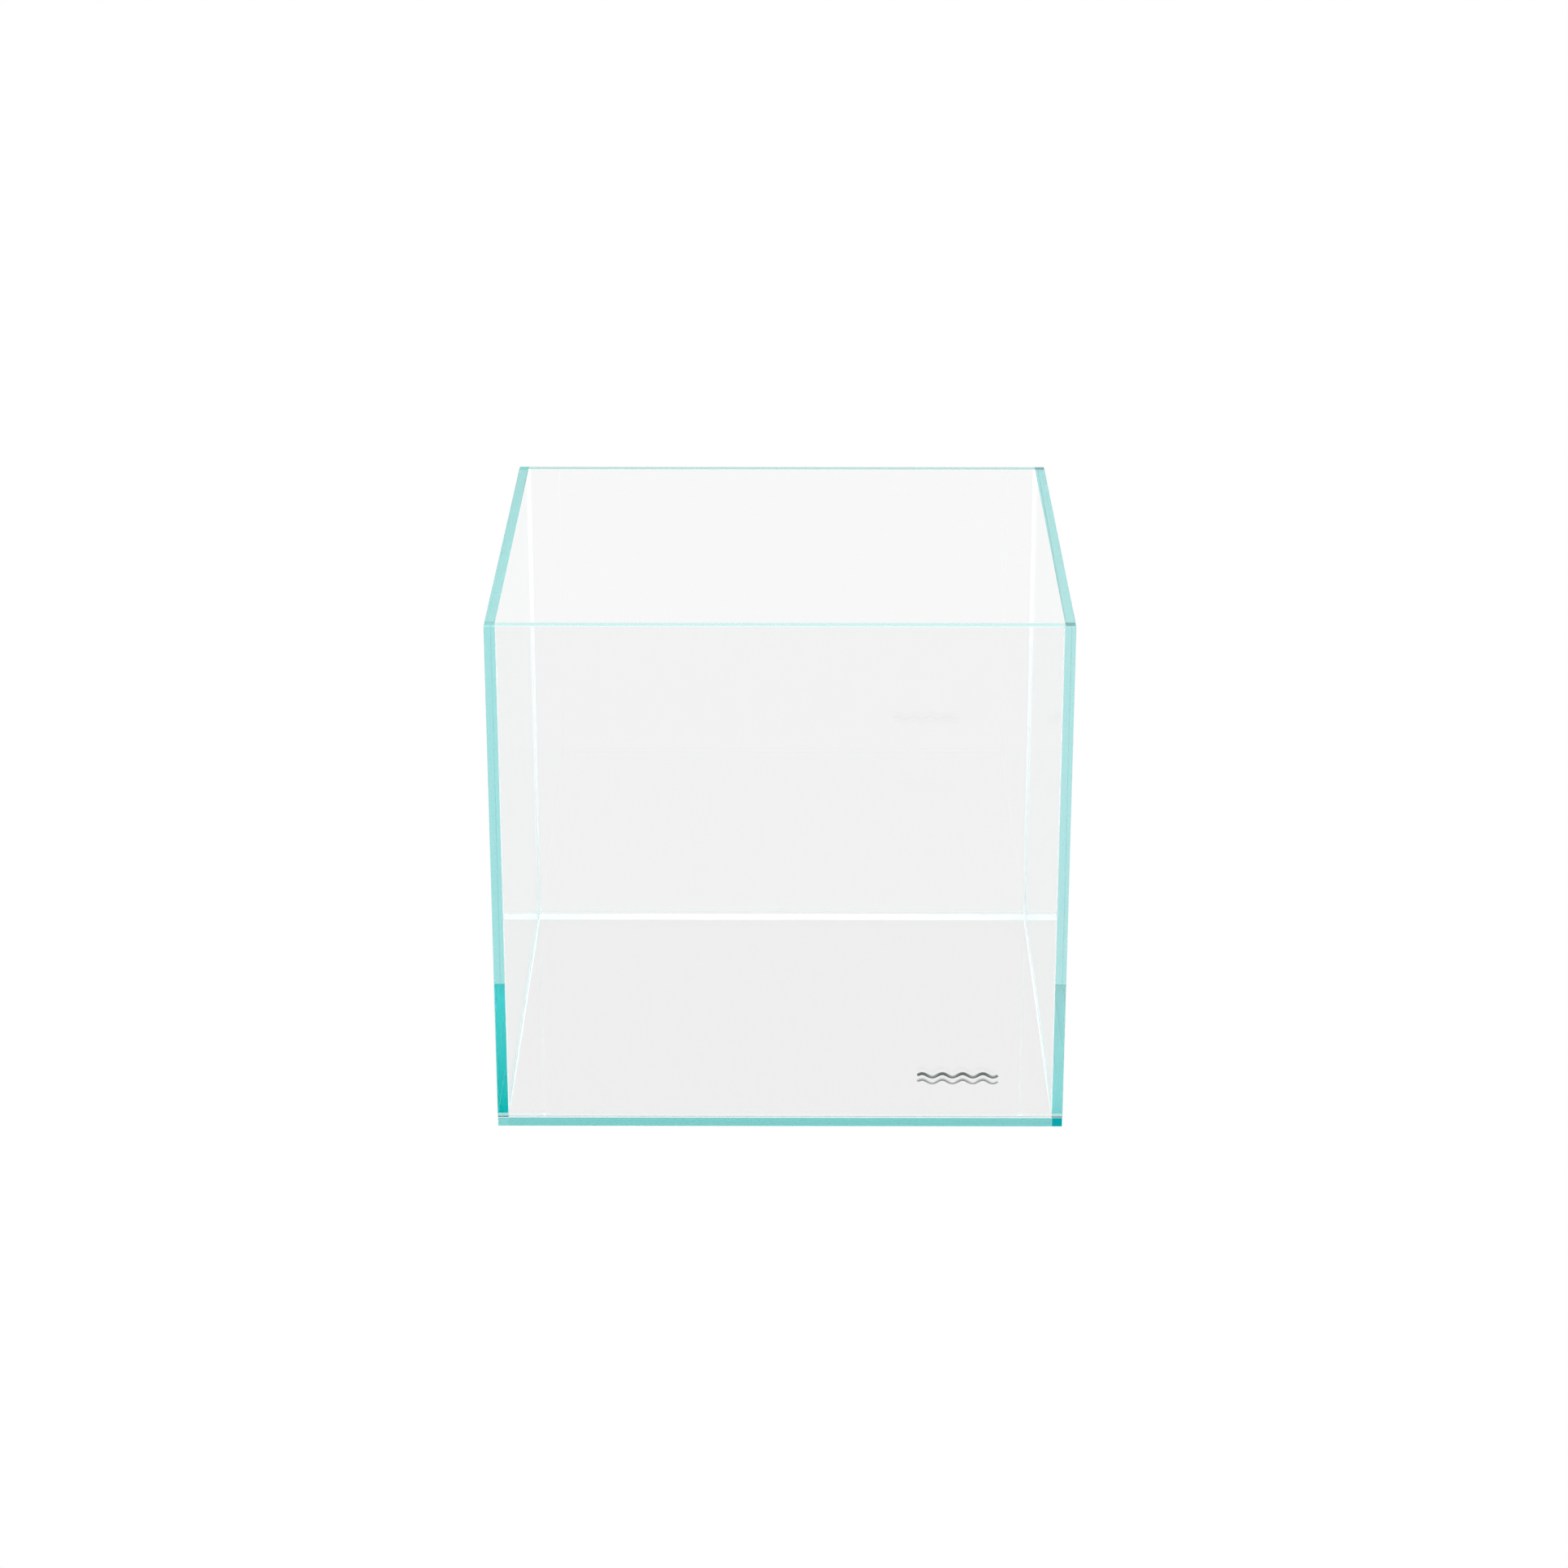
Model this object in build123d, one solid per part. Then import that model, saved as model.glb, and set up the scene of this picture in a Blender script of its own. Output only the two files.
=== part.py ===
from build123d import *
import os

# Rimless all-glass tank, open at the top: five float-glass panes bonded edge to face with clear
# silicone. X runs across the front, Y from front to rear, Z up. The origin is the centre of the
# underside, on the surface that the tank stands on. All sizes are in millimetres.

# Driving dimensions
TANK_WIDTH = 300.0
TANK_DEPTH = 280.0
TANK_HEIGHT = 281.0
GLASS = 5.4          # one sheet thickness for all five panes
ARRIS = 0.4          # flat ground along every cut edge, so that no edge is sharp
BOND = 0.6           # silicone left between a pane's cut edge and the face it is glued to
CORNER_BEAD = 1.6    # leg of the tooled bead inside each upright corner
FLOOR_BEAD = 2.0     # leg of the tooled bead along the floor

# Ripple badge on the outside of the front pane: two thin metal waves, one above the other
BADGE_LENGTH = 42.0
BADGE_HALF_WAVES = 8
BADGE_WAVE_RISE = 1.0
BADGE_RIBBON = 1.3
BADGE_PITCH = 3.8
BADGE_THICKNESS = 0.2
BADGE_CENTRE_X = 93.9
BADGE_CENTRE_Z = 28.4

# Places that follow from them
HALF_WIDTH = TANK_WIDTH / 2
HALF_DEPTH = TANK_DEPTH / 2
INNER_X = HALF_WIDTH - GLASS          # inner face of each side pane
INNER_Y = HALF_DEPTH - GLASS          # inner face of the front and rear panes
WALL_FOOT = GLASS + BOND              # height at which the walls start
SIDE_END = INNER_Y - BOND             # the side panes stand between the front and rear panes


def block(x_low, x_high, y_low, y_high, z_low, z_high):
    """A box given by its limits along each axis."""
    centre = Pos((x_low + x_high) / 2, (y_low + y_high) / 2, (z_low + z_high) / 2)
    return centre * Box(x_high - x_low, y_high - y_low, z_high - z_low)


def pane(x_low, x_high, y_low, y_high, z_low, z_high):
    """One cut sheet with the arris ground along all its edges."""
    sheet = block(x_low, x_high, y_low, y_high, z_low, z_high)
    return chamfer(sheet.edges(), ARRIS)


def base_pane():
    """The floor: it carries all four walls, so its own edge shows all the way round."""
    return pane(-HALF_WIDTH, HALF_WIDTH, -HALF_DEPTH, HALF_DEPTH, 0, GLASS)


def front_pane():
    """The front wall, as wide as the tank, so that it covers the cut ends of the side panes."""
    return pane(-HALF_WIDTH, HALF_WIDTH, -HALF_DEPTH, -INNER_Y, WALL_FOOT, TANK_HEIGHT)


def left_side_pane():
    """The left wall, held between the front and rear panes."""
    return pane(-HALF_WIDTH, -INNER_X, -SIDE_END, SIDE_END, WALL_FOOT, TANK_HEIGHT)


def bead(plane, leg, length):
    """A concave bead along the plane's normal, its legs on the plane's X and Y axes."""
    corner = Pos(leg / 2, leg / 2) * Rectangle(leg, leg)
    tooled = corner - Pos(leg, leg) * Circle(leg)
    return extrude(plane * tooled, length)


def front_floor_seam(panes):
    """Silicone under the front pane, with its bead along the foot of the pane inside."""
    bond = block(-HALF_WIDTH + ARRIS, HALF_WIDTH - ARRIS,
                 -HALF_DEPTH + ARRIS, -INNER_Y, GLASS, WALL_FOOT)
    root = block(-INNER_X, INNER_X, -INNER_Y - ARRIS, -INNER_Y, GLASS, WALL_FOOT + ARRIS)
    start = Plane(origin=(-INNER_X, -INNER_Y, GLASS), x_dir=(0, 1, 0), z_dir=(1, 0, 0))
    return bond + root + bead(start, FLOOR_BEAD, 2 * INNER_X) - panes


def left_floor_seam(panes, end_seams):
    """Silicone under the left pane, with its bead along the foot of the pane inside."""
    bond = block(-HALF_WIDTH + ARRIS, -INNER_X, -INNER_Y, INNER_Y, GLASS, WALL_FOOT)
    root = block(-INNER_X - ARRIS, -INNER_X, -SIDE_END, SIDE_END, GLASS, WALL_FOOT + ARRIS)
    start = Plane(origin=(-INNER_X, -INNER_Y, GLASS), x_dir=(0, 0, 1), z_dir=(0, 1, 0))
    return bond + root + bead(start, FLOOR_BEAD, 2 * INNER_Y) - panes - end_seams


def front_left_corner_seam(panes, floor_seams):
    """Silicone between the left pane's front end and the front pane, with its upright bead."""
    top = TANK_HEIGHT - ARRIS
    bond = block(-HALF_WIDTH + ARRIS, -INNER_X, -INNER_Y, -SIDE_END, WALL_FOOT, top)
    root = block(-INNER_X - ARRIS, -INNER_X, -INNER_Y, -SIDE_END + ARRIS, WALL_FOOT, top)
    start = Plane(origin=(-INNER_X, -INNER_Y, WALL_FOOT))
    return bond + root + bead(start, CORNER_BEAD, top - WALL_FOOT) - panes - floor_seams


def ripple():
    """One wave of the badge, drawn flat: half-waves up and down in turn, as a ribbon of metal."""
    step = BADGE_LENGTH / BADGE_HALF_WAVES
    arcs = []
    for number in range(BADGE_HALF_WAVES):
        left = -BADGE_LENGTH / 2 + number * step
        rise = BADGE_WAVE_RISE if number % 2 == 0 else -BADGE_WAVE_RISE
        arcs.append(ThreePointArc((left, 0), (left + step / 2, rise), (left + step, 0)))
    return trace(Curve() + arcs, line_width=BADGE_RIBBON)


def ripple_badge():
    """Two waves of thin metal stuck to the front pane, low on the right."""
    face = Plane(origin=(BADGE_CENTRE_X, -HALF_DEPTH, BADGE_CENTRE_Z),
                 x_dir=(1, 0, 0), z_dir=(0, -1, 0))
    waves = [extrude(face * Pos(0, side * BADGE_PITCH / 2) * ripple(), BADGE_THICKNESS)
             for side in (-1, 1)]
    return Compound(children=waves)


def to_rear(solid):
    """The same piece at the other end of the tank's depth."""
    return mirror(solid, about=Plane.XZ)


def to_right(solid):
    """The same piece at the other end of the tank's width."""
    return mirror(solid, about=Plane.YZ)


front, left = front_pane(), left_side_pane()
pieces = {
    "base_pane": base_pane(),
    "front_pane": front,
    "rear_pane": to_rear(front),
    "left_side_pane": left,
    "right_side_pane": to_right(left),
}
panes = list(pieces.values())

front_floor = front_floor_seam(panes)
end_seams = [front_floor, to_rear(front_floor)]
left_floor = left_floor_seam(panes, end_seams)
floor_seams = end_seams + [left_floor, to_right(left_floor)]
pieces["floor_seam_front"], pieces["floor_seam_rear"] = end_seams
pieces["floor_seam_left"], pieces["floor_seam_right"] = floor_seams[2:]

corner = front_left_corner_seam(panes, floor_seams)
pieces["corner_seam_front_left"] = corner
pieces["corner_seam_front_right"] = to_right(corner)
pieces["corner_seam_rear_left"] = to_rear(corner)
pieces["corner_seam_rear_right"] = Rot(0, 0, 180) * corner

pieces["ripple_badge"] = ripple_badge()

os.makedirs("parts", exist_ok=True)
for node, piece in pieces.items():
    export_step(piece, f"parts/{node}.step")
    print(node, len(piece.solids()), "solid(s)", round(piece.volume, 1), "mm3")
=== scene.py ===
import math
import bmesh
import bpy
from mathutils import Matrix, Vector


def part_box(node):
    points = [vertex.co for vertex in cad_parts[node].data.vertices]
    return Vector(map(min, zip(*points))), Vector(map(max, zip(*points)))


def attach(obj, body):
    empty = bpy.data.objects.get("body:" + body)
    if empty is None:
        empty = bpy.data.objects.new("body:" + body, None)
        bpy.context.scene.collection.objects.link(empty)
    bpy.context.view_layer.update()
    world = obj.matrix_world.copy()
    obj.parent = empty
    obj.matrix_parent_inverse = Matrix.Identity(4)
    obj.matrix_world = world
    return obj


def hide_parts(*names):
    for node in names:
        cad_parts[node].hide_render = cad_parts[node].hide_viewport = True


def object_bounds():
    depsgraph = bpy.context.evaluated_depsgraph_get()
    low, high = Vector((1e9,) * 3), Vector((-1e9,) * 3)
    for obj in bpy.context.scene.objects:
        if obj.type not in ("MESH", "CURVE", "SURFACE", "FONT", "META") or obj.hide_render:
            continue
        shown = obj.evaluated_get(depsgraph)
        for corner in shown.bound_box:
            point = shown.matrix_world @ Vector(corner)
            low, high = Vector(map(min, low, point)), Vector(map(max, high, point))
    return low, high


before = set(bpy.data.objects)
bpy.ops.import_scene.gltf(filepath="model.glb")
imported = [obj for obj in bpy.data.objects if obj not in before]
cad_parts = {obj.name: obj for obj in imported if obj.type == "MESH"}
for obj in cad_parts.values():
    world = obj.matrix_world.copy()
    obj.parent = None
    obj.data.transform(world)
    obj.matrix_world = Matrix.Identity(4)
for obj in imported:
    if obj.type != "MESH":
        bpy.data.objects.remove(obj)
cad_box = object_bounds()

# ---- Base pane -----------------------------------------------------------------------------------
# The floor of the tank is one sheet of low-iron float glass under all four walls, so its cut edge
# shows all the way round. The faces are as the float bath leaves them. The edge is ground and
# polished, and its sharp corners are taken off with a belt, which leaves a satin flat, the arris.

ARRIS = 0.0002
ARRIS_TONE = "C8E0DE"
ARRIS_SATIN = 0.45
FACE_TONE = "FEFDFD"
EDGE_TONE = "F4FBFA"
GLASS_IOR = 1.52
# Low-iron glass hardly tints what is seen through a sheet, and turns sea green along its length.
GLASS_TINT = "B9F9F9"
GLASS_DENSITY = 4.1
# The float line leaves a roll about 45 mm long and a hundredth of a millimetre deep. The grain of
# the belt is nearer 0.1 mm, and is drawn coarser so that it shows.
ROLL_WAVE = 0.045
ROLL_DEPTH = 0.00001
GRIND_GRAIN = 0.0009
GRIND_DEPTH = 0.0000007
SATIN_ROUGHNESS = (0.25, 0.45)
# How far a ray must lean over, from 0 face on to 1 edge on, for the bedded foot to look dull and show its
# painted sea green.
GLANCING = (0.5, 0.7)
# Points nearer than this after the cuts are one point.
SAME_POINT = 0.000002


def linear(hex_color):
    """An sRGB hex colour as linear RGBA."""
    channels = [int(hex_color[i:i + 2], 16) / 255 for i in (0, 2, 4)]
    return (*[c / 12.92 if c <= 0.04045 else ((c + 0.055) / 1.055) ** 2.4 for c in channels], 1.0)


def add(tree, kind, settings=None, **links):
    """Adds a node, sets its properties and sockets, and links what is given as a socket."""
    node = tree.nodes.new(kind)
    for name, value in (settings or {}).items():
        setattr(node, name, value)
    for name, value in links.items():
        key = int(name[1:]) if name[0] == "i" and name[1:].isdigit() else name.replace("_", " ")
        socket = node.inputs[key]
        if isinstance(value, bpy.types.NodeSocket):
            tree.links.new(value, socket)
        else:
            socket.default_value = value
    return node


def new_material(name):
    """An empty node material."""
    material = bpy.data.materials.new(name)
    material.use_nodes = True
    material.node_tree.nodes.clear()
    return material


def finish_piece(piece, slot, *nodes):
    """The piece rides on the tank and stands for its CAD nodes, which are hidden. The slot is not used.
    """
    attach(piece, "root")
    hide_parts(*nodes)


# Low-iron float glass, edges ground and polished: water clear through the sheet, with the faint
# long roll of the float line in its faces, and sea green along it. Four attributes of each face
# set the rest: its tone, on some edges painted light and shade, how satin the belt left it, how
# far it is bedded in silicone, and whether silicone wets it, which takes its mirror image away.
glass = new_material("Low-iron float glass, edges ground and polished")
tree = glass.node_tree
place = add(tree, "ShaderNodeTexCoord")
# The tone attribute carries each edge's glass tint and, on some edges, painted light and shade.
tone = add(tree, "ShaderNodeAttribute", {"attribute_name": "tone"})
satin = add(tree, "ShaderNodeAttribute", {"attribute_name": "satin"})
# A dulled face is only dull from outside: from within the glass it lets the light through, untoned, so
# that a painted dull patch such as the base's front right end doesn't show from inside.
struck = add(tree, "ShaderNodeNewGeometry")
belt_dulled = add(tree, "ShaderNodeMath", {"operation": "GREATER_THAN"}, i0=satin.outputs["Fac"],
                  i1=0.01)
within = add(tree, "ShaderNodeMath", {"operation": "MULTIPLY"}, i0=belt_dulled.outputs[0],
             i1=struck.outputs["Backfacing"])
outside = add(tree, "ShaderNodeMath", {"operation": "SUBTRACT"}, i0=1.0,
              i1=struck.outputs["Backfacing"])
satin_seen = add(tree, "ShaderNodeMath", {"operation": "MULTIPLY"}, i0=satin.outputs["Fac"],
                 i1=outside.outputs[0])
roll = add(tree, "ShaderNodeTexNoise", Vector=place.outputs["Object"], Scale=1 / ROLL_WAVE, Detail=1.0)
grain = add(tree, "ShaderNodeTexNoise", Vector=place.outputs["Object"], Scale=1 / GRIND_GRAIN,
            Detail=2.0)
rolled = add(tree, "ShaderNodeBump", Strength=1.0, Distance=ROLL_DEPTH, Height=roll.outputs[0])
belted = add(tree, "ShaderNodeBump", Strength=satin_seen.outputs[0], Distance=GRIND_DEPTH,
             Height=grain.outputs[0], Normal=rolled.outputs[0])
grained = add(tree, "ShaderNodeMapRange", Value=grain.outputs[0], To_Min=SATIN_ROUGHNESS[0],
              To_Max=SATIN_ROUGHNESS[1])
rough = add(tree, "ShaderNodeMath", {"operation": "MULTIPLY"}, i0=grained.outputs[0],
            i1=satin_seen.outputs[0])
# The bedded foot shows its tone, painted light, only to rays that glance along the pane; elsewhere
# silicone wets it and it is clear.
bedded = add(tree, "ShaderNodeAttribute", {"attribute_name": "bedded"})
glance = add(tree, "ShaderNodeLayerWeight", Blend=0.5)
caught = add(tree, "ShaderNodeMapRange", Value=glance.outputs["Facing"], From_Min=GLANCING[0],
             From_Max=GLANCING[1])
caught = add(tree, "ShaderNodeMath", {"operation": "MULTIPLY"}, i0=caught.outputs[0],
             i1=bedded.outputs["Fac"])
dull = add(tree, "ShaderNodeMath", {"operation": "ADD", "use_clamp": True}, i0=caught.outputs[0],
           i1=satin_seen.outputs[0])
clear = add(tree, "ShaderNodeMath", {"operation": "SUBTRACT"}, i0=1.0, i1=dull.outputs[0])
wet = add(tree, "ShaderNodeMath", {"operation": "SUBTRACT"}, i0=bedded.outputs["Fac"],
          i1=caught.outputs[0])
untoned = add(tree, "ShaderNodeMath", {"operation": "ADD", "use_clamp": True}, i0=wet.outputs[0],
              i1=within.outputs[0])
color = add(tree, "ShaderNodeMix", {"data_type": "RGBA"}, i0=untoned.outputs[0],
            i6=tone.outputs["Color"], i7=linear("FFFFFF"))
shine = add(tree, "ShaderNodeMapRange", Value=bedded.outputs["Fac"], To_Min=0.5, To_Max=0.0)
wetted = add(tree, "ShaderNodeAttribute", {"attribute_name": "wetted"})
mirror = add(tree, "ShaderNodeMath", {"operation": "SUBTRACT"}, i0=1.0, i1=wetted.outputs["Fac"])
body = add(tree, "ShaderNodeBsdfPrincipled", Base_Color=color.outputs[2],
           Roughness=rough.outputs[0], IOR=GLASS_IOR, Transmission_Weight=clear.outputs[0],
           Specular_IOR_Level=shine.outputs[0], Specular_Tint=mirror.outputs[0],
           Normal=belted.outputs[0])
inside = add(tree, "ShaderNodeVolumeAbsorption", Color=linear(GLASS_TINT),
             Density=GLASS_DENSITY)
add(tree, "ShaderNodeOutputMaterial", Surface=body.outputs[0], Volume=inside.outputs[0])

# The panes are cut along the inner planes of the walls, so that each part of an edge has its tone.
wall_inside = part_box("right_side_pane")[0].x
end_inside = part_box("rear_pane")[0].y
tank_middle = (cad_box[0] + cad_box[1]) / 2
AXIS_SIDES = (("left", "right"), ("rear", "front"), ("foot", "top"))


def cut_pane(node, tones_and_painted_light, arris=ARRIS):
    """A sheet as large as its CAD node, with an arris along its edges and its edges toned, partly with
    painted light and shade.

    Each tone is one colour, or one at the front and one at the back, and then how satin it is.
    """
    low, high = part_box(node)
    size = high - low
    middle = (low + high) / 2
    thin = min(range(3), key=lambda axis: size[axis])
    mesh = bmesh.new()
    bmesh.ops.create_cube(mesh, size=1.0)
    for vertex in mesh.verts:
        vertex.co = Vector((vertex.co[axis] * size[axis] + middle[axis] for axis in range(3)))
    bmesh.ops.bevel(mesh, geom=mesh.edges[:], offset=arris, segments=2, affect="EDGES", profile=0.5)
    for line in (-1, 1):
        for plane in ((wall_inside * line, 0, 0), (0, end_inside * line, 0)):
            bmesh.ops.bisect_plane(mesh, geom=mesh.verts[:] + mesh.edges[:] + mesh.faces[:],
                                   plane_co=plane, plane_no=Vector(plane).normalized())
    bmesh.ops.remove_doubles(mesh, verts=mesh.verts[:], dist=SAME_POINT)
    tone_layer = mesh.loops.layers.float_color.new("tone")
    satin_layer = mesh.faces.layers.float.new("satin")
    bedded_layer = mesh.faces.layers.float.new("bedded")
    wetted_layer = mesh.faces.layers.float.new("wetted")
    for face in mesh.faces:
        axis = max(range(3), key=lambda number: abs(face.normal[number]))
        centre = face.calc_center_median()
        slanted = abs(face.normal[axis]) < 0.99
        if slanted and thin < 2 and face.normal.z < 0.1:
            colors, dulled = ("FFFFFF",), 0.0
        elif slanted:
            lip = "upper arris" if face.normal.z > 0.1 else "arris"
            *colors, dulled = tones_and_painted_light.get(lip, (ARRIS_TONE, ARRIS_SATIN))
        elif axis == thin:
            colors, dulled = (tones_and_painted_light.get("face", FACE_TONE),), 0.0
        else:
            side = AXIS_SIDES[axis][int((face.normal[axis] > 0) != (axis == 1))]
            if abs(centre.x) > wall_inside and size.x > wall_inside:
                side += " left end" if centre.x < 0 else " right end"
            *colors, dulled = tones_and_painted_light.get(side, tones_and_painted_light.get(side.split()[0], (EDGE_TONE, 0.0)))
        inward = face.normal.dot(centre - tank_middle) < 0
        outer = abs(centre.x) > wall_inside or abs(centre.y) > end_inside and thin == 2
        if thin == 0:
            joined = axis != thin and face.normal.z < 0.5
        else:
            joined = axis == thin and inward and outer
        face[wetted_layer] = 1.0 if joined or dulled == 1.0 else 0.0
        bed = axis == 2 and face.normal.z < -0.99 and "foot" in tones_and_painted_light
        face[bedded_layer] = dulled if bed else 0.0
        face[satin_layer] = 0.0 if bed else dulled
        face.smooth = False
        for loop in face.loops:
            share = (loop.vert.co.y - low.y) / size.y
            ends = linear(colors[0]), linear(colors[-1])
            loop[tone_layer] = [a + (b - a) * share for a, b in zip(*ends)]
    data = bpy.data.meshes.new(node + "_glass")
    mesh.to_mesh(data)
    mesh.free()
    piece = bpy.data.objects.new(node + "_glass", data)
    bpy.context.scene.collection.objects.link(piece)
    data.materials.append(glass)
    finish_piece(piece, "low_iron_glass", node)
    return piece


# Partly the glass's own sea green and partly painted light: the front edge is painted teal and the rear
# near white, and the right end of the front edge is a painted dark teal satin patch standing in for the
# deep teal light seen along the length of the base.
cut_pane("base_pane", {
    "face": "F6F5F4",
    "upper arris": ("F4F2F2", 0.9),
    "front": ("86BCBB", 0.0),
    "front left end": ("94C8C8", 0.0),
    "front right end": ("007A80", 1.0),
    "rear": ("E2F6F5", 0.0),
})

# ---- Front and rear panes ------------------------------------------------------------------------
# Two sheets of the same glass, as wide as the tank, stand on the base and close the ends of the
# side panes. Their top rims are left a little duller than the other edges.

# Painted shade: the top rim ends over the side panes are painted sea green, darker on the right ends than
# on the left, for how the light falls through the ends.
cut_pane("front_pane", {
    "top": ("AFCDCA", 0.55),
    "top left end": ("64B6B2", 0.5),
    "top right end": ("448884", 0.5),
})
cut_pane("rear_pane", {
    "face": "F9F8F8",
    "top": ("A1BBB8", 0.55),
    "top left end": ("00AFA5", 0.5),
    "top right end": ("107A7E", 0.5),
})

# ---- Side panes ----------------------------------------------------------------------------------
# Two shorter sheets stand between the front and rear panes. Their foot is only ground, not polished,
# because it is bedded in silicone. The sea green that shows through the front end of the pane is
# painted light on the foot: deep at the front and pale at the back, deeper on the left pane than on
# the right. The left pane's front and rear edges are painted a touch greener than the right's.

# Edges that will be glued are only just broken, so that silicone fills the joint to its corner.
BONDED_ARRIS = 0.00004

cut_pane("left_side_pane", {
    "front": ("ECF6F7", 0.0),
    "rear": ("ECF6F7", 0.0),
    "foot": ("00DCD8", "79FFFF", 1.0),
    "top": ("FFF7F5", 0.0),
}, BONDED_ARRIS)
cut_pane("right_side_pane", {
    "front": ("FFF9FA", 0.0),
    "rear": ("FFF9FA", 0.0),
    "foot": ("9EFFFF", "EFFFFF", 1.0),
    "top": ("FFF7F5", 0.0),
}, BONDED_ARRIS)

# ---- Floor seams ---------------------------------------------------------------------------------
# Each wall is bedded on the base in a thin layer of clear silicone, and a bead of the same silicone
# is run along the inside corner and drawn hollow with a finger.

# Silicone and glass stay this far apart, so that each is a closed body of its own.
SEAM_GAP = 0.00003
FLOOR_LEGS = {"front": 0.0004, "rear": 0.0005, "left": 0.0008, "right": 0.0008}
# The rear bead is smeared forward over the base: it is this many times wider than high.
FLOOR_SPREADS = {"front": 1.0, "rear": 15.0, "left": 1.0, "right": 1.0}
# The bonding layer stops just short of the outer faces and the rim.
BOND_INSET = 0.00005
# The free face wanders by this share of the bead's leg, over about 16 mm.
BEAD_WOBBLE = 0.05
BEAD_WAVE = 0.016
BEAD_STEP = 0.003
BEAD_CLOUD = 0.006
BEAD_SKIN = 0.0015
BEAD_SKIN_DEPTH = 0.00004
FILM_CLOUD = 0.01
SILICONE_IOR = 1.41
CRISP_ANGLE = 0.6
ARC_POINTS = 12

# Clear silicone, tooled by hand: cured beads look milky white where they are thick, with a soft
# shine and the fine ripple that a wet finger leaves.
silicone = new_material("Clear silicone, tooled by hand")
tree = silicone.node_tree
place = add(tree, "ShaderNodeTexCoord")
cloud = add(tree, "ShaderNodeTexNoise", Vector=place.outputs["Object"], Scale=1 / BEAD_CLOUD,
            Detail=3.0)
skin = add(tree, "ShaderNodeTexNoise", Vector=place.outputs["Object"], Scale=1 / BEAD_SKIN,
           Detail=2.0)
hazy = add(tree, "ShaderNodeMapRange", Value=cloud.outputs[0], From_Min=0.3, From_Max=0.7)
color = add(tree, "ShaderNodeMix", {"data_type": "RGBA"}, i0=hazy.outputs[0], i6=linear("F0FAFB"),
            i7=linear("FAFEFF"))
bump = add(tree, "ShaderNodeBump", Strength=0.4, Distance=BEAD_SKIN_DEPTH, Height=skin.outputs[0])
body = add(tree, "ShaderNodeBsdfPrincipled", Base_Color=color.outputs[2], Roughness=0.3,
           IOR=SILICONE_IOR, Transmission_Weight=0.05, Normal=bump.outputs[0])
add(tree, "ShaderNodeOutputMaterial", Surface=body.outputs[0])

# Clear silicone, squeezed thin: the layer between two panes has no air in it and wets the glass,
# so it is as clear as the panes and its faces don't mirror.
film = new_material("Clear silicone, squeezed thin")
tree = film.node_tree
place = add(tree, "ShaderNodeTexCoord")
spread = add(tree, "ShaderNodeTexNoise", Vector=place.outputs["Object"], Scale=1 / FILM_CLOUD,
             Detail=2.0)
color = add(tree, "ShaderNodeMix", {"data_type": "RGBA"}, i0=spread.outputs[0], i6=linear("F6FDFC"),
            i7=linear("FFFFFF"))
body = add(tree, "ShaderNodeBsdfPrincipled", Base_Color=color.outputs[2], Roughness=0.0,
           IOR=SILICONE_IOR, Transmission_Weight=1.0, Specular_Tint=linear("000000"))
add(tree, "ShaderNodeOutputMaterial", Surface=body.outputs[0])

# The seam is made along +Z with its corner at the origin: the bead lies between +X and +Y, and the
# bonding layer goes back from the corner under the edge of the pane.
seam = bpy.data.node_groups.new("silicone seam", "GeometryNodeTree")
seam_sockets = {}
for label, kind in (("Length", "Float"), ("Leg", "Float"), ("Spread", "Float"),
                    ("Bond Width", "Float"), ("Bond Thickness", "Float"), ("Overrun", "Float"),
                    ("Gap", "Float"), ("Wobble", "Float"), ("Wave", "Float"), ("Steps", "Int"),
                    ("Seed", "Float"),
                    ("Bead Material", "Material"), ("Film Material", "Material")):
    socket = seam.interface.new_socket(label, in_out="INPUT", socket_type="NodeSocket" + kind)
    seam_sockets[label] = socket.identifier
seam.interface.new_socket("Geometry", in_out="OUTPUT", socket_type="NodeSocketGeometry")
given = add(seam, "NodeGroupInput").outputs
top = add(seam, "ShaderNodeCombineXYZ", Z=given["Length"])
run = add(seam, "GeometryNodeCurvePrimitiveLine", End=top.outputs[0])
run = add(seam, "GeometryNodeResampleCurve", Curve=run.outputs[0], Count=given["Steps"])
pie = add(seam, "GeometryNodeCurveArc", {"mode": "RADIUS"}, Resolution=ARC_POINTS,
          Radius=given["Leg"], Start_Angle=0.0, Sweep_Angle=math.radians(90), Connect_Center=True)
spot = add(seam, "GeometryNodeInputPosition")
reach = add(seam, "ShaderNodeVectorMath", {"operation": "LENGTH"}, i0=spot.outputs[0])
half = add(seam, "ShaderNodeMath", {"operation": "MULTIPLY"}, i0=given["Leg"], i1=0.5)
outer = add(seam, "ShaderNodeMath", {"operation": "GREATER_THAN"}, i0=reach.outputs["Value"],
            i1=half.outputs[0])
apart = add(seam, "ShaderNodeSeparateXYZ", Vector=spot.outputs[0])
hollow_x = add(seam, "ShaderNodeMath", {"operation": "SUBTRACT"}, i0=given["Leg"],
               i1=apart.outputs["Y"])
hollow_y = add(seam, "ShaderNodeMath", {"operation": "SUBTRACT"}, i0=given["Leg"],
               i1=apart.outputs["X"])
hollow = add(seam, "ShaderNodeCombineXYZ", X=hollow_x.outputs[0], Y=hollow_y.outputs[0])
profile = add(seam, "GeometryNodeSetPosition", Geometry=pie.outputs[0], Selection=outer.outputs[0],
              Position=hollow.outputs[0])
smear = add(seam, "ShaderNodeCombineXYZ", X=given["Spread"], Y=1.0, Z=1.0)
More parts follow.
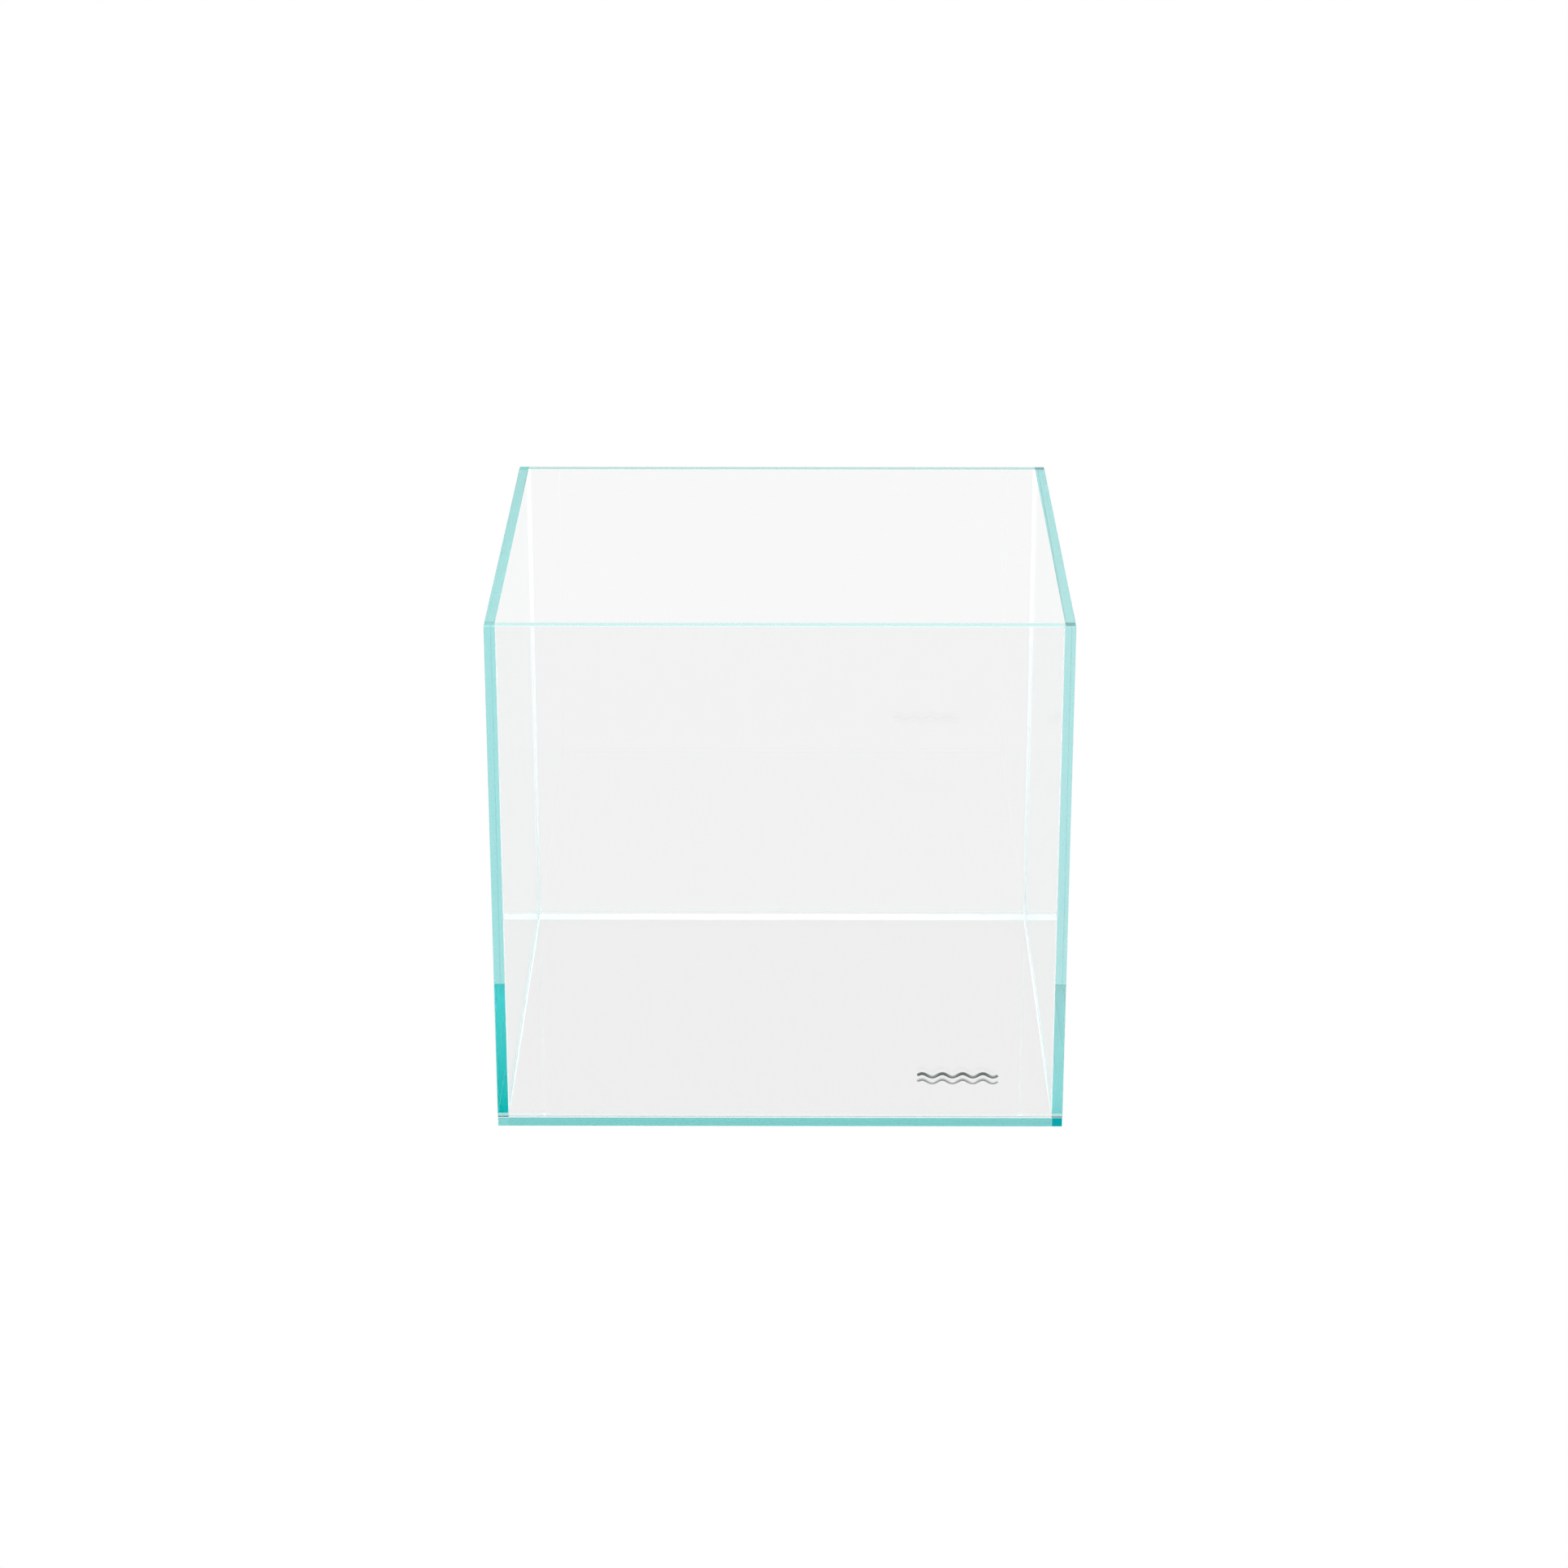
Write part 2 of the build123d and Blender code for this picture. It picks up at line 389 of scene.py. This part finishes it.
profile = add(seam, "GeometryNodeTransform", Geometry=profile.outputs[0], Scale=smear.outputs[0])
clearance = add(seam, "ShaderNodeCombineXYZ", X=given["Gap"], Y=given["Gap"])
profile = add(seam, "GeometryNodeSetPosition", Geometry=profile.outputs[0],
              Offset=clearance.outputs[0])
bead = add(seam, "GeometryNodeCurveToMesh", Curve=run.outputs[0], Profile_Curve=profile.outputs[0],
           Fill_Caps=True)
# The finger presses harder in some places, so the free face wanders and its edges do not.
free = add(seam, "ShaderNodeMath", {"operation": "MULTIPLY"}, i0=apart.outputs["X"],
           i1=apart.outputs["Y"])
square = add(seam, "ShaderNodeMath", {"operation": "MULTIPLY"}, i0=given["Leg"], i1=given["Leg"])
square = add(seam, "ShaderNodeMath", {"operation": "MULTIPLY"}, i0=square.outputs[0],
             i1=given["Spread"])
free = add(seam, "ShaderNodeMath", {"operation": "DIVIDE"}, i0=free.outputs[0], i1=square.outputs[0])
along = add(seam, "ShaderNodeMath", {"operation": "DIVIDE"}, i0=apart.outputs["Z"],
            i1=given["Wave"])
along = add(seam, "ShaderNodeCombineXYZ", Z=along.outputs[0])
press = add(seam, "ShaderNodeTexNoise", {"noise_dimensions": "4D"}, Vector=along.outputs[0],
            W=given["Seed"], Scale=1.0, Detail=2.0)
press = add(seam, "ShaderNodeMapRange", Value=press.outputs[0], From_Min=0.3, From_Max=0.7,
            To_Min=-10.0, To_Max=10.0)
push = add(seam, "ShaderNodeMath", {"operation": "MULTIPLY"}, i0=press.outputs[0],
           i1=free.outputs[0])
push = add(seam, "ShaderNodeMath", {"operation": "MULTIPLY"}, i0=push.outputs[0],
           i1=given["Wobble"])
push = add(seam, "ShaderNodeCombineXYZ", X=push.outputs[0], Y=push.outputs[0])
bead = add(seam, "GeometryNodeSetPosition", Geometry=bead.outputs[0], Offset=push.outputs[0])
bead = add(seam, "GeometryNodeSetShadeSmooth", Geometry=bead.outputs[0])
bend = add(seam, "GeometryNodeInputMeshEdgeAngle")
crisp = add(seam, "ShaderNodeMath", {"operation": "GREATER_THAN"}, i0=bend.outputs[0],
            i1=CRISP_ANGLE)
bead = add(seam, "GeometryNodeSetShadeSmooth", {"domain": "EDGE"}, Geometry=bead.outputs[0],
           Selection=crisp.outputs[0], Shade_Smooth=False)
bead = add(seam, "GeometryNodeSetMaterial", Geometry=bead.outputs[0],
           Material=given["Bead Material"])
# The bonding layer is a flat strip, and may run on past the ends of its bead.
early = add(seam, "ShaderNodeMath", {"operation": "MULTIPLY"}, i0=given["Overrun"], i1=-1.0)
late = add(seam, "ShaderNodeMath", {"operation": "ADD"}, i0=given["Length"], i1=given["Overrun"])
early = add(seam, "ShaderNodeCombineXYZ", Z=early.outputs[0])
late = add(seam, "ShaderNodeCombineXYZ", Z=late.outputs[0])
bond_run = add(seam, "GeometryNodeCurvePrimitiveLine", Start=early.outputs[0], End=late.outputs[0])
bond_run = add(seam, "GeometryNodeResampleCurve", Curve=bond_run.outputs[0], Count=given["Steps"])
lean = add(seam, "ShaderNodeMath", {"operation": "MULTIPLY_ADD"}, i0=given["Gap"], i1=-2.0,
           i2=given["Bond Thickness"])
strip = add(seam, "GeometryNodeCurvePrimitiveQuadrilateral", Width=given["Bond Width"],
            Height=lean.outputs[0])
back = add(seam, "ShaderNodeMath", {"operation": "MULTIPLY"}, i0=given["Bond Width"], i1=-0.5)
rise = add(seam, "ShaderNodeMath", {"operation": "MULTIPLY"}, i0=given["Bond Thickness"], i1=0.5)
middle = add(seam, "ShaderNodeCombineXYZ", X=back.outputs[0], Y=rise.outputs[0])
strip = add(seam, "GeometryNodeSetPosition", Geometry=strip.outputs[0], Offset=middle.outputs[0])
bond = add(seam, "GeometryNodeCurveToMesh", Curve=bond_run.outputs[0],
           Profile_Curve=strip.outputs[0], Fill_Caps=True)
bond = add(seam, "GeometryNodeSetShadeSmooth", Geometry=bond.outputs[0], Shade_Smooth=False)
bond = add(seam, "GeometryNodeSetMaterial", Geometry=bond.outputs[0],
           Material=given["Film Material"])
both = add(seam, "GeometryNodeJoinGeometry")
seam.links.new(bond.outputs[0], both.inputs[0])
seam.links.new(bead.outputs[0], both.inputs[0])
whole = add(seam, "GeometryNodeRealizeInstances", Geometry=both.outputs[0])
add(seam, "NodeGroupOutput", Geometry=whole.outputs[0])


def grown(name, group, sockets, values, origin, x_axis, y_axis):
    """The plain mesh that a node group makes with these inputs, placed by an origin and two axes."""
    piece = bpy.data.objects.new(name, bpy.data.meshes.new(name + "_start"))
    bpy.context.scene.collection.objects.link(piece)
    modifier = piece.modifiers.new("shape", "NODES")
    modifier.node_group = group
    for label, value in values.items():
        modifier[sockets[label]] = value
    graph = bpy.context.evaluated_depsgraph_get()
    data = bpy.data.meshes.new_from_object(piece.evaluated_get(graph))
    piece.modifiers.remove(modifier)
    z_axis = x_axis.cross(y_axis)
    turn = Matrix((x_axis, y_axis, z_axis)).transposed().to_4x4()
    data.transform(Matrix.Translation(origin) @ turn)
    data.name = name
    piece.data = data
    return piece


def silicone_seam(node, origin, x_axis, y_axis, length, leg, spread, bond, overrun, seed):
    """One seam, its corner line from origin along the cross product of its two axes."""
    values = {
        "Length": length, "Leg": leg, "Spread": spread, "Bond Width": bond_width,
        "Bond Thickness": bond, "Overrun": overrun, "Gap": SEAM_GAP, "Wobble": leg * BEAD_WOBBLE,
        "Wave": BEAD_WAVE,
        "Steps": round(length / BEAD_STEP) + 1, "Seed": seed, "Bead Material": silicone,
        "Film Material": film,
    }
    name = node.replace("seam", "silicone")
    piece = grown(name, seam, seam_sockets, values, Vector(origin), Vector(x_axis), Vector(y_axis))
    finish_piece(piece, "clear_silicone", node)


base_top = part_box("base_pane")[1].z
wall_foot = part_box("front_pane")[0].z
tank_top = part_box("front_pane")[1].z
front_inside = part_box("front_pane")[1].y
side_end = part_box("left_side_pane")[0].y
glass_thickness = base_top
bond_width = glass_thickness - BOND_INSET
inner_width = 2 * (wall_inside - SEAM_GAP)
inner_depth = -2 * (front_inside + SEAM_GAP)
x, y = wall_inside - SEAM_GAP, -front_inside - SEAM_GAP
bed = wall_foot - base_top
for node, origin, x_axis, length, overrun, seed in (
    ("floor_seam_front", (-x, front_inside, base_top), (0, 1, 0), inner_width, bond_width, 1.0),
    ("floor_seam_rear", (x, -front_inside, base_top), (0, -1, 0), inner_width, bond_width, 2.0),
    ("floor_seam_left", (-wall_inside, y, base_top), (1, 0, 0), inner_depth, 0.0, 3.0),
    ("floor_seam_right", (wall_inside, -y, base_top), (-1, 0, 0), inner_depth, 0.0, 4.0),
):
    wall = node.split("_")[-1]
    leg, spread = FLOOR_LEGS[wall], FLOOR_SPREADS[wall]
    silicone_seam(node, origin, x_axis, (0, 0, 1), length, leg, spread, bed, overrun, seed)

# ---- Corner seams --------------------------------------------------------------------------------
# The ends of the side panes are glued to the front and rear panes with the same silicone, drawn
# into a smaller upright bead in each inside corner.

# The front corners are wiped finer than the rear ones.
CORNER_LEGS = {"front": 0.0006, "rear": 0.0010}

corner_top = tank_top - BOND_INSET
corner_length = corner_top - wall_foot - SEAM_GAP
joint = side_end - front_inside
for node, side, end, seed in (
    ("corner_seam_front_left", -1, -1, 5.0),
    ("corner_seam_front_right", 1, -1, 6.0),
    ("corner_seam_rear_left", -1, 1, 7.0),
    ("corner_seam_rear_right", 1, 1, 8.0),
):
    leg = CORNER_LEGS[node.split("_")[2]]
    upward = side * end > 0
    start = wall_foot + SEAM_GAP if upward else corner_top
    origin = (side * wall_inside, end * -front_inside, start)
    silicone_seam(node, origin, (-side, 0, 0), (0, -end, 0), corner_length, leg, 1.0, joint, 0.0, seed)

# ---- Ripple badge --------------------------------------------------------------------------------
# A plain mark of two small waves, low on the right of the front pane: electroformed nickel, a few
# tenths of a millimetre thick and slightly domed, put on as a transfer.

RIPPLE_RISE = 0.0010
RIPPLE_RIBBON = 0.0017
RIPPLE_DOME = 0.00035
RIPPLE_HALF_WAVES = 8
RIPPLE_POINTS = 193
DOME_POINTS = 13
NICKEL_FOG = 0.002

# Electroformed nickel, lacquered: a silver that the clear coat softens. Its colour is painted darker
# towards its upper rim and left bright below, painted shade for the dark reflection along the rim.
nickel = new_material("Electroformed nickel, lacquered")
tree = nickel.node_tree
place = add(tree, "ShaderNodeTexCoord")
fog = add(tree, "ShaderNodeTexNoise", Vector=place.outputs["Object"], Scale=1 / NICKEL_FOG,
          Detail=3.0)
rough = add(tree, "ShaderNodeMapRange", Value=fog.outputs[0], To_Min=0.35, To_Max=0.55)
# Painted shade: the colour darkens from the bottom of the badge to its upper rim.
heights = add(tree, "ShaderNodeSeparateXYZ", Vector=place.outputs["Object"])
low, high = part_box("ripple_badge")
painted_shade_by_height = add(tree, "ShaderNodeMapRange", Value=heights.outputs[2], From_Min=low.z, From_Max=high.z)
color = add(tree, "ShaderNodeMix", {"data_type": "RGBA"}, i0=painted_shade_by_height.outputs[0], i6=linear("FDFFFF"),
            i7=linear("666C6E"))
body = add(tree, "ShaderNodeBsdfPrincipled", Base_Color=color.outputs[2], Roughness=rough.outputs[0],
           Metallic=0.85)
add(tree, "ShaderNodeOutputMaterial", Surface=body.outputs[0])

ripple = bpy.data.node_groups.new("ripple badge", "GeometryNodeTree")
ripple_sockets = {}
for label, kind in (("Length", "Float"), ("Half Waves", "Float"), ("Rise", "Float"),
                    ("Ribbon", "Float"), ("Dome", "Float"), ("Pitch", "Float"),
                    ("Material", "Material")):
    socket = ripple.interface.new_socket(label, in_out="INPUT", socket_type="NodeSocket" + kind)
    ripple_sockets[label] = socket.identifier
ripple.interface.new_socket("Geometry", in_out="OUTPUT", socket_type="NodeSocketGeometry")
given = add(ripple, "NodeGroupInput").outputs
half = add(ripple, "ShaderNodeMath", {"operation": "MULTIPLY"}, i0=given["Length"], i1=0.5)
left = add(ripple, "ShaderNodeMath", {"operation": "MULTIPLY"}, i0=given["Length"], i1=-0.5)
left = add(ripple, "ShaderNodeCombineXYZ", X=left.outputs[0])
right = add(ripple, "ShaderNodeCombineXYZ", X=half.outputs[0])
line = add(ripple, "GeometryNodeCurvePrimitiveLine", Start=left.outputs[0], End=right.outputs[0])
line = add(ripple, "GeometryNodeResampleCurve", Curve=line.outputs[0],
           Count=RIPPLE_POINTS)
along = add(ripple, "GeometryNodeSplineParameter")
angle = add(ripple, "ShaderNodeMath", {"operation": "MULTIPLY"}, i0=along.outputs["Factor"],
            i1=given["Half Waves"])
angle = add(ripple, "ShaderNodeMath", {"operation": "MULTIPLY"}, i0=angle.outputs[0], i1=math.pi)
swing = add(ripple, "ShaderNodeMath", {"operation": "SINE"}, i0=angle.outputs[0])
swing = add(ripple, "ShaderNodeMath", {"operation": "MULTIPLY"}, i0=swing.outputs[0],
            i1=given["Rise"])
swing = add(ripple, "ShaderNodeCombineXYZ", Y=swing.outputs[0])
# The ends are rounded off: the ribbon narrows as a half circle over its last half width.
spot = add(ripple, "GeometryNodeInputPosition")
apart = add(ripple, "ShaderNodeSeparateXYZ", Vector=spot.outputs[0])
away = add(ripple, "ShaderNodeMath", {"operation": "ABSOLUTE"}, i0=apart.outputs["X"])
left_over = add(ripple, "ShaderNodeMath", {"operation": "SUBTRACT"}, i0=half.outputs[0],
                i1=away.outputs[0])
radius = add(ripple, "ShaderNodeMath", {"operation": "MULTIPLY"}, i0=given["Ribbon"], i1=0.5)
near = add(ripple, "ShaderNodeMath", {"operation": "DIVIDE", "use_clamp": True},
           i0=left_over.outputs[0], i1=radius.outputs[0])
short = add(ripple, "ShaderNodeMath", {"operation": "SUBTRACT"}, i0=1.0, i1=near.outputs[0])
short = add(ripple, "ShaderNodeMath", {"operation": "MULTIPLY"}, i0=short.outputs[0],
            i1=short.outputs[0])
round_off = add(ripple, "ShaderNodeMath", {"operation": "SUBTRACT"}, i0=1.02, i1=short.outputs[0])
round_off = add(ripple, "ShaderNodeMath", {"operation": "SQRT"}, i0=round_off.outputs[0])
path = add(ripple, "GeometryNodeSetCurveRadius", Curve=line.outputs[0], Radius=round_off.outputs[0])
path = add(ripple, "GeometryNodeSetPosition", Geometry=path.outputs[0], Offset=swing.outputs[0])
dome = add(ripple, "GeometryNodeCurveArc", {"mode": "RADIUS"}, Resolution=DOME_POINTS,
           Radius=1.0, Start_Angle=math.radians(180), Sweep_Angle=math.radians(180), Connect_Center=False)
squash = add(ripple, "ShaderNodeCombineXYZ", X=radius.outputs[0], Y=given["Dome"], Z=1.0)
dome = add(ripple, "GeometryNodeTransform", Geometry=dome.outputs[0], Scale=squash.outputs[0])
dome = add(ripple, "GeometryNodeSetSplineCyclic", Geometry=dome.outputs[0], Cyclic=True)
wave = add(ripple, "GeometryNodeCurveToMesh", Curve=path.outputs[0], Profile_Curve=dome.outputs[0],
           Scale=round_off.outputs[0], Fill_Caps=True)
wave = add(ripple, "GeometryNodeSetShadeSmooth", Geometry=wave.outputs[0])
drop = add(ripple, "ShaderNodeMath", {"operation": "MULTIPLY"}, i0=given["Pitch"], i1=-0.5)
low_spot = add(ripple, "ShaderNodeCombineXYZ", Y=drop.outputs[0])
step = add(ripple, "ShaderNodeCombineXYZ", Y=given["Pitch"])
rows = add(ripple, "GeometryNodeMeshLine", Count=2, Start_Location=low_spot.outputs[0],
           Offset=step.outputs[0])
rows = add(ripple, "GeometryNodeInstanceOnPoints", Points=rows.outputs[0], Instance=wave.outputs[0])
whole = add(ripple, "GeometryNodeRealizeInstances", Geometry=rows.outputs[0])
whole = add(ripple, "GeometryNodeSetMaterial", Geometry=whole.outputs[0],
            Material=given["Material"])
add(ripple, "NodeGroupOutput", Geometry=whole.outputs[0])

badge_height = high.z - low.z
badge = grown("ripple_badge_nickel", ripple, ripple_sockets, {
    "Length": high.x - low.x, "Half Waves": RIPPLE_HALF_WAVES, "Rise": RIPPLE_RISE,
    "Ribbon": RIPPLE_RIBBON, "Dome": RIPPLE_DOME,
    "Pitch": badge_height - 2 * RIPPLE_RISE - RIPPLE_RIBBON, "Material": nickel,
}, Vector(((low.x + high.x) / 2, high.y - SEAM_GAP, (low.z + high.z) / 2)),
    Vector((1, 0, 0)), Vector((0, 0, 1)))
finish_piece(badge, "badge_metal", "ripple_badge")

# ---- Studio --------------------------------------------------------------------------------------
# The tank stands on a white table that runs on as far as can be seen, in a white room. The light is
# soft and comes from all round, a little more of it from above.

# What falls on a dull surface is this many times brighter than what is seen of the room.
ROOM_LIGHT = 1.9
TABLE_RADIUS = 12.0
TABLE_DROP = 0.0005
# What mirrors show of the room goes from nearly black low down to a bright ceiling.
MIRRORED_HEIGHTS = (-0.45, 0.5)
MIRRORED_LIGHT = (0.02, 1.3)
SOFTBOX_SIZE = 1.4
SOFTBOX_WATTS = 14.0
CAMERA_DOWN = 21.295
CAMERA_TURN = 0.18
GLASS_BOUNCES = 64

mesh = bmesh.new()
bmesh.ops.create_circle(mesh, cap_ends=True, segments=96, radius=TABLE_RADIUS)
data = bpy.data.meshes.new("studio_floor")
mesh.to_mesh(data)
mesh.free()
floor = bpy.data.objects.new("studio_floor", data)
floor.location = (0, 0, -TABLE_DROP)
bpy.context.scene.collection.objects.link(floor)
paint = new_material("White studio floor")
tree = paint.node_tree
path = add(tree, "ShaderNodeLightPath")
scattered = add(tree, "ShaderNodeMapRange", Value=path.outputs["Diffuse Depth"],
                To_Min=1.0, To_Max=ROOM_LIGHT)
glow = add(tree, "ShaderNodeEmission", Color=(1, 1, 1, 1), Strength=scattered.outputs[0])
add(tree, "ShaderNodeOutputMaterial", Surface=glow.outputs[0])
data.materials.append(paint)
floor.visible_glossy = False

world = bpy.data.worlds.new("Soft white studio")
bpy.context.scene.world = world
world.use_nodes = True
tree = world.node_tree
tree.nodes.clear()
path = add(tree, "ShaderNodeLightPath")
seen = add(tree, "ShaderNodeMath", {"operation": "MAXIMUM"}, i0=path.outputs["Is Camera Ray"],
           i1=path.outputs["Is Transmission Ray"])
place = add(tree, "ShaderNodeTexCoord")
split = add(tree, "ShaderNodeSeparateXYZ", Vector=place.outputs["Generated"])
shade = add(tree, "ShaderNodeMapRange", Value=split.outputs[2], From_Min=MIRRORED_HEIGHTS[0],
            From_Max=MIRRORED_HEIGHTS[1], To_Min=MIRRORED_LIGHT[0], To_Max=MIRRORED_LIGHT[1])
level = add(tree, "ShaderNodeMix", {"data_type": "FLOAT"}, i0=seen.outputs[0],
            i2=shade.outputs[0], i3=1.0)
scattered = add(tree, "ShaderNodeMath", {"operation": "MINIMUM"}, i0=path.outputs["Diffuse Depth"],
                i1=1.0)
level = add(tree, "ShaderNodeMix", {"data_type": "FLOAT"}, i0=scattered.outputs[0],
            i2=level.outputs[0], i3=ROOM_LIGHT)
back = add(tree, "ShaderNodeBackground", Color=(1, 1, 1, 1), Strength=level.outputs[0])
add(tree, "ShaderNodeOutputWorld", Surface=back.outputs[0])

lamp = bpy.data.lights.new("overhead_softbox", "AREA")
lamp.shape = "SQUARE"
lamp.size = SOFTBOX_SIZE
lamp.energy = SOFTBOX_WATTS
softbox = bpy.data.objects.new("overhead_softbox", lamp)
softbox.location = (0.0, -0.3, 1.8)
bpy.context.scene.collection.objects.link(softbox)
softbox.visible_camera = False
softbox.visible_glossy = False
softbox.visible_transmission = False

camera = bpy.data.objects.new("camera", bpy.data.cameras.new("camera"))
bpy.context.scene.collection.objects.link(camera)
camera.location = (0.0080, -2.0183, 0.9275)
camera.rotation_euler = (math.radians(90 - CAMERA_DOWN), 0, math.radians(CAMERA_TURN))
camera.data.sensor_width = 36.0
camera.data.lens = 90.1
camera.data.clip_end = 60
bpy.context.scene.camera = camera

scene = bpy.context.scene
scene.view_settings.view_transform = "Standard"
scene.cycles.max_bounces = GLASS_BOUNCES
scene.cycles.transmission_bounces = GLASS_BOUNCES
scene.cycles.glossy_bounces = GLASS_BOUNCES
scene.cycles.transparent_max_bounces = 16
